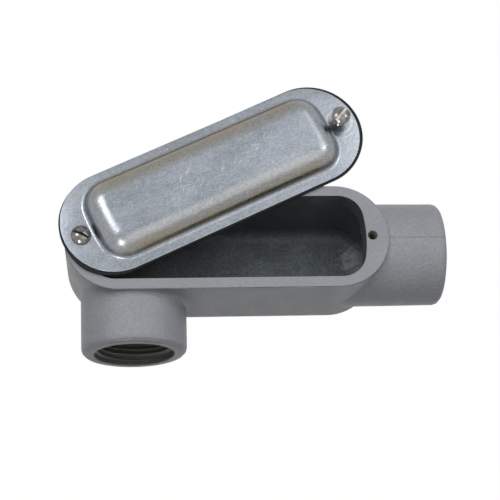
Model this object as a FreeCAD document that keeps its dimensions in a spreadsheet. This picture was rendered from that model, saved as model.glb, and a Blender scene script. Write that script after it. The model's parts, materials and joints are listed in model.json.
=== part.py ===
"""Side-outlet conduit body for one-inch threaded conduit, with its domed cover, gasket and two cover screws.

The frame lies midway between the two cover screws. X runs along the body towards the end hub, the side hub
points along -Y, the cover closes the mouth at the top (+Z), and the flat back lies in the plane z = 0.
The cover stands swung open about its pivot screw, with the captive screw drawn up out of its tapped hole.
"""

import FreeCAD, Part
import Sketcher
import os
from FreeCAD import Vector

SIZES = {
    # hubs
    "thread_width": (33.4, "major diameter of the one-inch pipe thread"),
    "thread_depth": (20.0, "length of the threaded wall"),
    "mouth_flare": (0.4, "chamfer at the start of the thread"),
    "throat_shoulder": (3.4, "step from the thread's wall in to the smooth throat"),
    "throat_break": (1.2, "chamfer of the throat's edges, which guards the wires"),
    "hub_wall": (5.45, "metal round the thread at a hub's end face"),
    "hub_draft": (0.25, "how much a hub's radius grows from its face to its root"),
    "hub_round": (2.8, "rounding of a hub's outer end edge"),
    "hub_blend": (2.5, "fillet between the side hub and the trough"),
    "end_hub_length": (25.5, "end hub's face, past the flange's tip"),
    "side_hub_length": (20.8, "side hub's face, past the trough's side"),
    "side_hub_inset": (28.5, "side hub's axis, in from the flange's tip"),
    # casting: trough, flange and mouth
    "flange_length": (135.8, "flange from tip to tip"),
    "side_margin": (0.1, "trough's sides, outside the end hub's root"),
    "back_margin": (0.1, "back, below the hubs' roots"),
    "rim_margin": (2.6, "flange face that the gasket seats on, above the hubs' roots"),
    "back_round": (9.0, "rounding between the side walls and the back"),
    "wall": (4.5, "side and end walls"),
    "floor": (3.5, "thickness of the back"),
    "floor_break": (2.5, "chamfer between the chamber floor and its walls"),
    "mouth_corner": (10.5, "corner radius of the mouth"),
    "mouth_bow": (55.0, "radius of the mouth's slightly bowed ends"),
    "core_corner": (14.0, "corner radius of the chamber below the screw lands"),
    "core_bow": (70.0, "radius of the chamber's bowed ends"),
    "land_depth": (10.0, "depth of the solid lands that hold the cover screws"),
    "land_skin": (0.65, "metal between a tapped hole and the mouth"),
    "rim_break": (0.3, "chamfer of the flange's outer edge"),
    # cover screws
    "screw_inset": (7.1, "cover screws' axes, in from the flange's tips"),
    "screw_width": (4.0, "screw shank across its thread crests"),
    "screw_length": (8.0, "screw length below the head"),
    "screw_point": (0.5, "chamfer at the screw's tip"),
    "head_width": (8.1, "screw head diameter"),
    "head_height": (2.5, "screw head height at its crown"),
    "head_edge": (0.7, "straight edge of the screw head"),
    "slot_width": (1.1, "driver slot's width"),
    "slot_depth": (1.3, "driver slot's depth below the crown"),
    "tapped_clearance": (0.05, "tapped wall's gap round the screw, on the radius"),
    "pivot_slot_angle": (-26.0, "direction of the pivot screw's slot, from X"),
    "captive_slot_angle": (51.0, "direction of the captive screw's slot, from X"),
    "head_clearance": (0.05, "gap between a seated head and the cover"),
    "tip_clearance": (0.55, "gap between the flange and the tip of the drawn-up captive screw"),
    # gasket
    "gasket_thickness": (1.9, "rubber between flange and cover"),
    "gasket_margin": (0.5, "how far the gasket shows past the cover's edge"),
    "gasket_hole_clearance": (0.05, "gasket hole's gap round the screw, on the radius"),
    # cover
    "swing": (25.0, "how far the cover stands swung open"),
    "sheet": (0.8, "cover sheet thickness"),
    "cover_overhang": (0.15, "cover's tips, past the flange's tips"),
    "cover_setback": (0.25, "cover's straight edges, inside the trough's sides"),
    "cover_rim": (4.35, "flat rim beside the raised panel"),
    "cover_hole_clearance": (0.3, "cover hole's gap round the screw, on the radius"),
    "head_gap": (1.35, "flat rim between a screw head and the raised panel"),
    "dome_corner": (11.0, "corner radius of the raised panel's foot"),
    "dome_bow": (95.0, "radius of the raised panel's bowed ends"),
    "dome_height": (8.0, "raised panel above the rim"),
    "dome_lean": (24.0, "lean of the raised panel's walls from upright"),
    "dome_crown_round": (7.5, "bend between the raised panel's walls and its flat top"),
    "dome_foot_break": (0.8, "chamfer in the bend between the rim and the raised panel's walls"),
}

THROAT_RADIUS = "(sizes.thread_width / 2 - sizes.throat_shoulder)"
HUB_FACE_RADIUS = "(sizes.thread_width / 2 + sizes.hub_wall)"
HUB_ROOT_RADIUS = f"({HUB_FACE_RADIUS} + sizes.hub_draft)"
HUB_HEIGHT = f"({HUB_ROOT_RADIUS} + sizes.back_margin)"
BODY_WIDTH = f"(2 * ({HUB_ROOT_RADIUS} + sizes.side_margin))"
BODY_DEPTH = f"({HUB_HEIGHT} + {HUB_ROOT_RADIUS} + sizes.rim_margin)"
HUB_REACH = {
    "end_hub": "(sizes.flange_length / 2 + sizes.end_hub_length)",
    "side_hub": f"({BODY_WIDTH} / 2 + sizes.side_hub_length)",
}
HUB_DIRECTIONS = {"end_hub": Vector(1, 0, 0), "side_hub": Vector(0, -1, 0)}
SIDE_HUB_STATION = "(sizes.flange_length / 2 - sizes.side_hub_inset)"
CHAMBER_WIDTH = f"({BODY_WIDTH} - 2 * sizes.wall)"
CHAMBER_LENGTH = "(sizes.flange_length - 2 * sizes.wall)"
LAND_UNDERSIDE = f"({BODY_DEPTH} - sizes.land_depth)"
HALF_SPACING = "(sizes.flange_length / 2 - sizes.screw_inset)"
TAPPED_RADIUS = "(sizes.screw_width / 2 + sizes.tapped_clearance)"
MOUTH_LENGTH = f"(2 * ({HALF_SPACING} - {TAPPED_RADIUS} - sizes.land_skin))"
SEATED_RIM = f"({BODY_DEPTH} + sizes.gasket_thickness)"
COVER_LENGTH = "(sizes.flange_length + 2 * sizes.cover_overhang)"
COVER_WIDTH = f"({BODY_WIDTH} - 2 * sizes.cover_setback)"
DOME_LENGTH = f"(2 * ({HALF_SPACING} - sizes.head_width / 2 - sizes.head_gap))"
DOME_WIDTH = f"({COVER_WIDTH} - 2 * sizes.cover_rim)"
SEATED_HEAD = f"({SEATED_RIM} + sizes.sheet + sizes.head_clearance)"
DRAWN_UP_HEAD = f"({BODY_DEPTH} + sizes.tip_clearance + sizes.screw_length)"
ROUNDING_STEPS = 3

doc = FreeCAD.newDocument("ConduitBody")


def make_sheet():
    """Fills the spreadsheet: a size's name, its value and what it measures on each row."""
    sheet = doc.addObject("Spreadsheet::Sheet", "sizes")
    for row, (name, (value, meaning)) in enumerate(SIZES.items(), start=1):
        sheet.set(f"A{row}", name)
        sheet.set(f"B{row}", str(value))
        sheet.set(f"C{row}", meaning)
        sheet.setAlias(f"B{row}", name)
    doc.recompute()
    return sheet


sizes = make_sheet()


def size(expression):
    """Gives the number that an expression in the sheet's names stands for."""
    found = sizes.evalExpression(expression)
    return float(getattr(found, "Value", found))


def make_body(name):
    body = doc.addObject("PartDesign::Body", name)
    body.Label = name
    return body


def origin_plane(body, role):
    return next(item for item in body.Origin.OriginFeatures if item.Role == role)


def make_sketch(body, name, role, along="0", up="0", out="0", turn=0):
    """Attaches a sketch to an origin plane of the body, moved in it (along, up) and off it (out)."""
    sketch = body.newObject("Sketcher::SketchObject", name)
    sketch.AttachmentSupport = (origin_plane(body, role), [""])
    sketch.MapMode = "FlatFace"
    sketch.AttachmentOffset = FreeCAD.Placement(Vector(), FreeCAD.Rotation(Vector(0, 0, 1), turn))
    for axis, expression in (("x", along), ("y", up), ("z", out)):
        sketch.setExpression(f"AttachmentOffset.Base.{axis}", expression)
    return sketch


def dimension(sketch, kind, places, expression):
    """Adds a dimension and binds it to an expression in the sheet's names."""
    index = sketch.addConstraint(Sketcher.Constraint(kind, *places, size(expression)))
    label = f"size{index}"
    sketch.renameConstraint(index, label)
    sketch.setExpression(f"Constraints.{label}", expression)


def pin_point(sketch, place, across, upward):
    """Fixes a sketch point at a place given by two expressions; a zero puts it on the sketch's axis."""
    for kind, axis, expression in (("DistanceX", -2, across), ("DistanceY", -1, upward)):
        amount = size(expression)
        if expression == "0":
            sketch.addConstraint(Sketcher.Constraint("PointOnObject", *place, axis))
        elif amount > 0:
            dimension(sketch, kind, (-1, 1, *place), expression)
        else:
            dimension(sketch, kind, (*place, -1, 1), f"-({expression})")


def draw_corners(sketch, corners):
    """Draws a closed outline of straight sides through corners given as pairs of expressions."""
    points = [Vector(size(across), size(upward), 0) for across, upward in corners]
    for index, end in enumerate(points):
        sketch.addGeometry(Part.LineSegment(points[index - 1], end))
        if index:
            sketch.addConstraint(Sketcher.Constraint("Coincident", index - 1, 2, index, 1))
    sketch.addConstraint(Sketcher.Constraint("Coincident", len(points) - 1, 2, 0, 1))
    for index, (across, upward) in enumerate(corners):
        pin_point(sketch, (index, 2), across, upward)


def draw_circles(sketch, half_spacing, radius):
    """Draws two equal holes on the X axis, one each side of the origin."""
    for side in (1, -1):
        centre = Vector(side * size(half_spacing), 0, 0)
        sketch.addGeometry(Part.Circle(centre, Vector(0, 0, 1), size(radius)))
    pin_point(sketch, (0, 3), half_spacing, "0")
    pin_point(sketch, (1, 3), f"-({half_spacing})", "0")
    for hole in (0, 1):
        dimension(sketch, "Radius", (hole,), radius)


def draw_stadium(sketch, length, width):
    """Draws an outline with straight sides and half-round ends, centred on the origin."""
    radius = f"({width}) / 2"
    centre = f"({length} - {width}) / 2"
    reach, half = size(centre), size(radius)
    up, right = Vector(0, 1, 0), Vector(1, 0, 0)
    right_top, right_bottom = right * reach + up * half, right * reach - up * half
    left_top, left_bottom = up * half - right * reach, -right * reach - up * half
    sketch.addGeometry(Part.LineSegment(left_top, right_top))
    sketch.addGeometry(Part.Arc(right_bottom, right * (reach + half), right_top))
    sketch.addGeometry(Part.LineSegment(right_bottom, left_bottom))
    sketch.addGeometry(Part.Arc(left_top, -right * (reach + half), left_bottom))
    for first, first_end, second, second_end in ((0, 2, 1, 2), (1, 1, 2, 1), (2, 2, 3, 2), (3, 1, 0, 1)):
        sketch.addConstraint(Sketcher.Constraint("Tangent", first, first_end, second, second_end))
    sketch.addConstraint(Sketcher.Constraint("Horizontal", 0))
    sketch.addConstraint(Sketcher.Constraint("Equal", 1, 3))
    sketch.addConstraint(Sketcher.Constraint("PointOnObject", 1, 3, -1))
    dimension(sketch, "DistanceX", (-1, 1, 1, 3), centre)
    dimension(sketch, "DistanceX", (3, 3, -1, 1), centre)
    dimension(sketch, "Radius", (1,), radius)


def draw_bowed_panel(sketch, length, width, corner, bow):
    """Draws a rounded rectangle whose two ends bow outwards, centred on the origin."""
    reach, half = size(f"({length}) / 2"), size(f"({width}) / 2")
    round_off, bulge = size(corner), size(bow)
    rise = half - round_off
    run = reach - bulge + ((bulge - round_off) ** 2 - rise**2) ** 0.5
    axis = Vector(0, 0, 1)
    slope = Vector(run - reach + bulge, rise, 0).normalize()

    def arc(centre, radius, first, middle, last):
        points = [centre + way * radius for way in (first, middle.normalize(), last)]
        return Part.Arc(*points)

    def mirrored(vector, across, upward):
        return Vector(vector.x * across, vector.y * upward, 0)

    up, right = Vector(0, 1, 0), Vector(1, 0, 0)
    sketch.addGeometry(Part.LineSegment(Vector(-run, half, 0), Vector(run, half, 0)))
    sketch.addGeometry(Part.LineSegment(Vector(-run, -half, 0), Vector(run, -half, 0)))
    corners = {}
    for across, upward in ((1, 1), (1, -1), (-1, -1), (-1, 1)):
        centre = Vector(run * across, rise * upward, 0)
        tilted = mirrored(slope, across, upward)
        upright = up * upward
        first, last = (tilted, upright) if across * upward > 0 else (upright, tilted)
        corners[across, upward] = sketch.addGeometry(arc(centre, round_off, first, tilted + upright, last))
    ends = {}
    for across in (1, -1):
        centre = right * (across * (reach - bulge))
        low, high = mirrored(slope, across, -across), mirrored(slope, across, across)
        ends[across] = sketch.addGeometry(arc(centre, bulge, low, right * across, high))
    for across, upward in corners:
        corner_arc = corners[across, upward]
        line_side, line_end = (0 if upward > 0 else 1), (2 if across > 0 else 1)
        upright_end, tilted_end = (2, 1) if across * upward > 0 else (1, 2)
        bow_end = 2 if across * upward > 0 else 1
        sketch.addConstraint(Sketcher.Constraint("Tangent", corner_arc, upright_end, line_side, line_end))
        sketch.addConstraint(Sketcher.Constraint("Tangent", corner_arc, tilted_end, ends[across], bow_end))
    first_corner = corners[1, 1]
    for other in list(corners.values())[1:]:
        sketch.addConstraint(Sketcher.Constraint("Equal", first_corner, other))
    sketch.addConstraint(Sketcher.Constraint("Equal", ends[1], ends[-1]))
    for line in (0, 1):
        sketch.addConstraint(Sketcher.Constraint("Symmetric", line, 1, line, 2, -2))
    dimension(sketch, "DistanceY", (-1, 1, 0, 1), f"({width}) / 2")
    dimension(sketch, "DistanceY", (1, 1, -1, 1), f"({width}) / 2")
    dimension(sketch, "Radius", (first_corner,), corner)
    dimension(sketch, "Radius", (ends[1],), bow)
    sketch.addConstraint(Sketcher.Constraint("PointOnObject", ends[1], 3, -1))
    tip = sketch.addGeometry(Part.Point(right * reach), True)
    sketch.addConstraint(Sketcher.Constraint("PointOnObject", tip, 1, ends[1]))
    sketch.addConstraint(Sketcher.Constraint("PointOnObject", tip, 1, -1))
    dimension(sketch, "DistanceX", (-1, 1, tip, 1), f"({length}) / 2")


def raise_pad(body, name, sketch, height, lean="0"):
    pad = body.newObject("PartDesign::Pad", name)
    pad.Profile = (sketch, [""])
    pad.setExpression("Length", height)
    pad.setExpression("TaperAngle", lean)
    doc.recompute()
    return pad


def sink_pocket(body, name, sketch, depth, upward=False, lean="0"):
    pocket = body.newObject("PartDesign::Pocket", name)
    pocket.Profile = (sketch, [""])
    pocket.Reversed = upward
    pocket.setExpression("Length", depth)
    pocket.setExpression("TaperAngle", lean)
    doc.recompute()
    return pocket


def spin(body, kind, name, sketch, axis):
    """Turns a profile a full turn about one of its sketch's axes, as a Revolution or a Groove."""
    turned = body.newObject(f"PartDesign::{kind}", name)
    turned.Profile = (sketch, [""])
    turned.ReferenceAxis = (sketch, [axis])
    turned.Angle = 360
    doc.recompute()
    return turned


def dress_edges(body, kind, name, base, amount, wanted):
    """Fillets or chamfers every edge of the base feature's shape for which wanted(edge) is true."""
    names = [f"Edge{number}" for number, edge in enumerate(base.Shape.Edges, start=1) if wanted(edge)]
    dressed = body.newObject(f"PartDesign::{kind}", name)
    dressed.Base = (base, names)
    dressed.setExpression("Radius" if kind == "Fillet" else "Size", amount)
    doc.recompute()
    return dressed


def lies_at(edge, height, reach=1e-4):
    """Tells whether the whole edge lies in the level plane at the given height."""
    box = edge.BoundBox
    return abs(box.ZMin - height) < reach and abs(box.ZMax - height) < reach


def rounded_corner(reach, edge, radius):
    """Gives the corners that round an outline off in straight steps, from (reach - radius, edge) onwards."""
    turns = [90 * step / ROUNDING_STEPS for step in range(ROUNDING_STEPS + 1)]
    return [
        (f"{reach} - {radius} * (1 - sin({turn}deg))", f"{edge} - {radius} * (1 - cos({turn}deg))")
        for turn in turns
    ]


def hub_sketch(body, name, hub):
    """Makes a sketch whose level axis is a hub's axis, pointing out of its mouth."""
    if hub == "end_hub":
        return make_sketch(body, name, "XZ_Plane", up=HUB_HEIGHT)
    return make_sketch(body, name, "YZ_Plane", up=HUB_HEIGHT, out=f"-{SIDE_HUB_STATION}", turn=180)


def add_hub(body, hub, root):
    """Adds a hub as a turned boss, tapering from its root inside the trough to its rounded face."""
    reach = HUB_REACH[hub]
    sketch = hub_sketch(body, f"{hub}_outline", hub)
    face_edge = rounded_corner(reach, HUB_FACE_RADIUS, "sizes.hub_round")
    draw_corners(sketch, [(root, "0"), (root, HUB_ROOT_RADIUS), *face_edge, (reach, "0")])
    return spin(body, "Revolution", hub, sketch, "H_Axis")


def blend_side_hub(body, boss):
    """Fillets the corner where the turned side hub leaves the trough."""
    outward = HUB_DIRECTIONS["side_hub"]
    side = size(BODY_WIDTH) / 2

    def joins_trough(edge):
        faces = boss.Shape.ancestorsOfType(edge, Part.Face)
        cones = [item for item in faces if isinstance(item.Surface, Part.Cone)]
        along = [item for item in cones if abs(item.Surface.Axis.dot(outward)) > 0.5]
        furthest = max(vertex.Point.dot(outward) for vertex in edge.Vertexes)
        return len(faces) == 2 and len(along) == 1 and furthest < side + 1e-3

    return dress_edges(body, "Fillet", "side_hub_blend", boss, "sizes.hub_blend", joins_trough)


def bore_hub(body, hub, inside):
    """Cuts a hub's threaded wall, its shoulder and the smooth throat into the chamber."""
    reach = HUB_REACH[hub]
    shoulder = f"{reach} - sizes.thread_depth"
    beyond = f"{reach} + 1"
    thread = "sizes.thread_width / 2"
    flare = f"{thread} + sizes.mouth_flare"
    corners = [
        (inside, "0"),
        (inside, THROAT_RADIUS),
        (f"{shoulder} - sizes.throat_break", THROAT_RADIUS),
        (shoulder, f"{THROAT_RADIUS} + sizes.throat_break"),
        (shoulder, thread),
        (f"{reach} - sizes.mouth_flare", thread),
        (reach, flare),
        (beyond, flare),
        (beyond, "0"),
    ]
    sketch = hub_sketch(body, f"{hub}_bore_outline", hub)
    draw_corners(sketch, corners)
    return spin(body, "Groove", f"{hub}_bore", sketch, "H_Axis")


def break_throats(body, solid):
    """Chamfers each throat's edge in the chamber, as the integral bushing that guards the wires."""
    radius = size(THROAT_RADIUS)

    def is_inner_edge(edge):
        faces = solid.Shape.ancestorsOfType(edge, Part.Face)
        bores = [item for item in faces if isinstance(item.Surface, Part.Cylinder)]
        in_throat = len(faces) == 2 and any(abs(item.Surface.Radius - radius) < 1e-3 for item in bores)
        meets_cone = any(isinstance(item.Surface, Part.Cone) for item in faces)
        return in_throat and not meets_cone

    return dress_edges(body, "Chamfer", "throat_break", solid, "sizes.throat_break", is_inner_edge)


def make_casting():
    """Builds the one-piece casting: a flanged trough with a threaded hub at one end and one side."""
    body = make_body("body_casting")
    outline = make_sketch(body, "flange_outline", "XY_Plane")
    draw_stadium(outline, "sizes.flange_length", BODY_WIDTH)
    solid = raise_pad(body, "trough", outline, BODY_DEPTH)
    solid = dress_edges(
        body, "Fillet", "back_rounding", solid, "sizes.back_round", lambda edge: lies_at(edge, 0)
    )
    add_hub(body, "end_hub", f"(sizes.flange_length - {BODY_WIDTH}) / 2")
    solid = add_hub(body, "side_hub", f"{BODY_WIDTH} / 4")
    blend_side_hub(body, solid)

    core = make_sketch(body, "chamber_outline", "XY_Plane", out=LAND_UNDERSIDE)
    draw_bowed_panel(core, CHAMBER_LENGTH, CHAMBER_WIDTH, "sizes.core_corner", "sizes.core_bow")
    solid = sink_pocket(body, "chamber", core, f"{LAND_UNDERSIDE} - sizes.floor")
    floor_height = size("sizes.floor")
    dress_edges(
        body, "Chamfer", "floor_break", solid, "sizes.floor_break", lambda edge: lies_at(edge, floor_height)
    )
    mouth = make_sketch(body, "mouth_outline", "XY_Plane", out=BODY_DEPTH)
    draw_bowed_panel(mouth, MOUTH_LENGTH, CHAMBER_WIDTH, "sizes.mouth_corner", "sizes.mouth_bow")
    sink_pocket(body, "mouth", mouth, "sizes.land_depth + sizes.floor")

    bore_hub(body, "end_hub", f"({MOUTH_LENGTH} - {BODY_WIDTH}) / 2")
    solid = bore_hub(body, "side_hub", "0")
    break_throats(body, solid)

    holes = make_sketch(body, "screw_hole_outline", "XY_Plane", out=BODY_DEPTH)
    draw_circles(holes, HALF_SPACING, TAPPED_RADIUS)
    solid = sink_pocket(body, "screw_holes", holes, "sizes.land_depth + sizes.wall / 2")

    top, outer = size(BODY_DEPTH), size(BODY_WIDTH) / 2

    def is_outer_rim(edge):
        furthest = max(abs(vertex.Y) for vertex in edge.Vertexes)
        return lies_at(edge, top) and abs(furthest - outer) < 1e-3

    dress_edges(body, "Chamfer", "rim_break", solid, "sizes.rim_break", is_outer_rim)
    return body


def place_on_cover(body, along, height):
    """Places a body along the swung cover, from the pivot screw, and turns it with the cover."""
    body.setExpression("Placement.Base.x", f"-{HALF_SPACING} + ({along}) * cos(sizes.swing * 1deg)")
    body.setExpression("Placement.Base.y", f"({along}) * sin(sizes.swing * 1deg)")
    body.setExpression("Placement.Base.z", height)
    body.Placement.Rotation = FreeCAD.Rotation(Vector(0, 0, 1), 1)
    body.setExpression("Placement.Rotation.Angle", "sizes.swing")


def make_gasket():
    """Builds the flat rubber gasket, a ring cut to the cover's outline with a margin."""
    body = make_body("cover_gasket")
    outline = make_sketch(body, "gasket_outline", "XY_Plane")
    margin = "2 * sizes.gasket_margin"
    draw_stadium(outline, f"{COVER_LENGTH} + {margin}", f"{COVER_WIDTH} + {margin}")
    raise_pad(body, "gasket_sheet", outline, "sizes.gasket_thickness")
    opening = make_sketch(body, "gasket_opening_outline", "XY_Plane")
    draw_bowed_panel(opening, DOME_LENGTH, DOME_WIDTH, "sizes.dome_corner", "sizes.dome_bow")
    sink_pocket(body, "gasket_opening", opening, "sizes.gasket_thickness", upward=True)
    holes = make_sketch(body, "gasket_hole_outline", "XY_Plane")
    draw_circles(holes, HALF_SPACING, "sizes.screw_width / 2 + sizes.gasket_hole_clearance")
    sink_pocket(body, "gasket_holes", holes, "sizes.gasket_thickness", upward=True)
    place_on_cover(body, HALF_SPACING, BODY_DEPTH)
    return body


def raise_panel(body, name, inset, foot_height, height, crown_round):
    """Raises the cover's leaning-walled panel, or the smaller form of its hollow, with a rounded crown."""
    outline = make_sketch(body, f"{name}_outline", "XY_Plane", out=foot_height)
    draw_bowed_panel(
        outline,
        f"{DOME_LENGTH} - 2 * {inset}",
        f"{DOME_WIDTH} - 2 * {inset}",
        f"sizes.dome_corner - {inset}",
        f"sizes.dome_bow - {inset}",
    )
    solid = raise_pad(body, name, outline, height, lean="-sizes.dome_lean")
    crown = size(f"{foot_height} + {height}")
    return dress_edges(
        body, "Fillet", f"{name}_crown", solid, crown_round, lambda edge: lies_at(edge, crown)
    )


def bend_foot(body, name, solid, height, width):
    """Chamfers the bend between the rim and the raised panel, on the side that lies at the given height."""
    level = size(height)
    widest = size(DOME_WIDTH) / 2

    def is_bend(edge):
        furthest = max(abs(vertex.Y) for vertex in edge.Vertexes)
        return lies_at(edge, level) and furthest < widest + 1e-3

    return dress_edges(body, "Chamfer", name, solid, width, is_bend)


def make_cover():
    """Builds the pressed sheet cover: a flat rim round a raised, hollow panel."""
    body = make_body("cover")
    outline = make_sketch(body, "rim_outline", "XY_Plane")
    draw_stadium(outline, COVER_LENGTH, COVER_WIDTH)
    raise_pad(body, "rim", outline, "sizes.sheet")
    solid = raise_panel(body, "panel", "0", "sizes.sheet", "sizes.dome_height", "sizes.dome_crown_round")
    bend_foot(body, "panel_bend", solid, "sizes.sheet", "sizes.dome_foot_break")

    hollow = make_body("panel_hollow")
    lean = "sizes.dome_lean * 1deg"
    inset = f"(sizes.sheet * (1 / cos({lean}) - tan({lean})))"
    inner_round = "sizes.dome_crown_round - sizes.sheet"
    raise_panel(hollow, "hollow", inset, "0", "sizes.dome_height", inner_round)
    solid = body.newObject("PartDesign::Boolean", "hollowing")
    solid.Type = "Cut"
    solid.Group = [hollow]
    doc.recompute()
    bend_foot(body, "hollow_bend", solid, "0", f"sizes.dome_foot_break + {inset}")

    holes = make_sketch(body, "cover_hole_outline", "XY_Plane")
    draw_circles(holes, HALF_SPACING, "sizes.screw_width / 2 + sizes.cover_hole_clearance")
    sink_pocket(body, "cover_holes", holes, "sizes.sheet", upward=True)
    place_on_cover(body, HALF_SPACING, SEATED_RIM)
    return body


def crown_points():
    """Gives the corners of a screw head's crown, in straight steps of an arc centred on its axis."""
    head, rise = "(sizes.head_width / 2)", "(sizes.head_height - sizes.head_edge)"
    ball = f"(({head}^2 + {rise}^2) / (2 * {rise}))"
    places = (head, f"{head} * 0.6")
    return [(place, f"sizes.head_height - {ball} + sqrt({ball}^2 - ({place})^2)") for place in places]


def make_screw(name, slot_angle, along, height):
    """Builds a slotted round-head machine screw, its head's underside at the given place and height."""
    body = make_body(name)
    profile = make_sketch(body, "screw_outline", "XZ_Plane")
    shank = "sizes.screw_width / 2"
    corners = [
        ("0", "sizes.head_height"),
        ("0", "-sizes.screw_length"),
        (f"{shank} - sizes.screw_point", "-sizes.screw_length"),
        (shank, "sizes.screw_point - sizes.screw_length"),
        (shank, "0"),
        ("sizes.head_width / 2", "0"),
    ]
    draw_corners(profile, corners + crown_points())
    spin(body, "Revolution", "screw_turning", profile, "V_Axis")
    slot = make_sketch(body, "slot_outline", "XY_Plane", out="sizes.head_height")
    reach, half = "sizes.head_width", "sizes.slot_width / 2"
    near, far = f"-({half})", f"-{reach}"
    draw_corners(slot, [(far, half), (reach, half), (reach, near), (far, near)])
    sink_pocket(body, "slot", slot, "sizes.slot_depth")
    place_on_cover(body, along, height)
    body.setExpression("Placement.Rotation.Angle", slot_angle)
    return body


def write_parts(bodies):
    """Recomputes the document, refuses any failed object and writes each body to its own file."""
    doc.recompute()
    for item in doc.Objects:
        if "Invalid" in item.State or "Error" in item.State:
            raise RuntimeError(f"{item.Name} failed: {item.State}")
    for body in bodies:
        shape = body.Shape
        if shape.isNull() or not shape.isValid() or len(shape.Solids) != 1:
            raise RuntimeError(f"{body.Label} is not one valid solid")
    os.makedirs("parts", exist_ok=True)
    for body in bodies:
        body.Shape.exportStep(f"parts/{body.Label}.step")
        print(body.Label, round(body.Shape.Volume, 1), "mm3", body.Shape.BoundBox)


pivot_screw = make_screw("pivot_screw", "sizes.pivot_slot_angle", "0", SEATED_HEAD)
captive_screw = make_screw(
    "captive_screw", "sizes.captive_slot_angle", f"2 * {HALF_SPACING}", DRAWN_UP_HEAD
)
write_parts([make_casting(), make_gasket(), make_cover(), pivot_screw, captive_screw])
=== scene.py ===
"""Looks of a side-outlet conduit body: painted casting, pressed cover, rubber gasket and plated screws."""

import json
import logging
import math
from dataclasses import dataclass
from enum import Enum
from functools import reduce

import bmesh
import bpy
from mathutils import Matrix, Vector, noise


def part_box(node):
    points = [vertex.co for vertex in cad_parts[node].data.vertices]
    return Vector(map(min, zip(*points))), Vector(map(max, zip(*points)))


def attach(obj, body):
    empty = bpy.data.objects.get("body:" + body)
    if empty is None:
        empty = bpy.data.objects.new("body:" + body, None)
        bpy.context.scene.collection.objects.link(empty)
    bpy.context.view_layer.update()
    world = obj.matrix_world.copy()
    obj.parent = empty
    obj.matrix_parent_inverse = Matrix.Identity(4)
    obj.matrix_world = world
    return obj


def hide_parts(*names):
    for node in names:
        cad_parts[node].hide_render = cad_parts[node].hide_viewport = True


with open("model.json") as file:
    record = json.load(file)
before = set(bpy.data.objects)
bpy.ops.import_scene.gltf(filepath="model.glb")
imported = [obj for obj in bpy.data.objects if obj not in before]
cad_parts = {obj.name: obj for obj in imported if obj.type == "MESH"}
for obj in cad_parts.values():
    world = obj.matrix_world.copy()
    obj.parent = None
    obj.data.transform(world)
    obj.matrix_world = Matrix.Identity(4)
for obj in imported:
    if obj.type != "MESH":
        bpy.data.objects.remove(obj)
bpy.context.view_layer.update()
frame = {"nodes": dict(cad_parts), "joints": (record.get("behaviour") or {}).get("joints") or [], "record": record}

LOG = logging.getLogger("conduit_body")
MM = 0.001
UP = Vector((0, 0, 1))
WHITE = (1.0, 1.0, 1.0)
SHARP_ABOVE = math.radians(32)
WELD = 1e-7
SCREW_PITCH = 0.794 * MM
Triple = tuple[float, float, float]
Colour = Triple
Point = tuple[float, float]
Socket = bpy.types.NodeSocket
Tree = bpy.types.NodeTree
Mesh = bpy.types.Mesh
Material = bpy.types.Material
Shape = bmesh.types.BMesh
Ring = list[bmesh.types.BMVert]


class Body(Enum):
    """The bodies that move."""

    CASTING = "casting"
    COVER = "cover"
    LOOSE_SCREW = "loose_screw"


class Slot(Enum):
    """The record's material slots."""

    CASTING = "casting"
    GASKET = "gasket"
    COVER = "cover_sheet"
    SCREW = "screw_steel"


class Flank(Enum):
    """Which way a thread's ridge stands from its wall: inwards in a hole, outwards on a shank."""

    INWARD = -1
    OUTWARD = 1


# ------------------------------
# node trees


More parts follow.
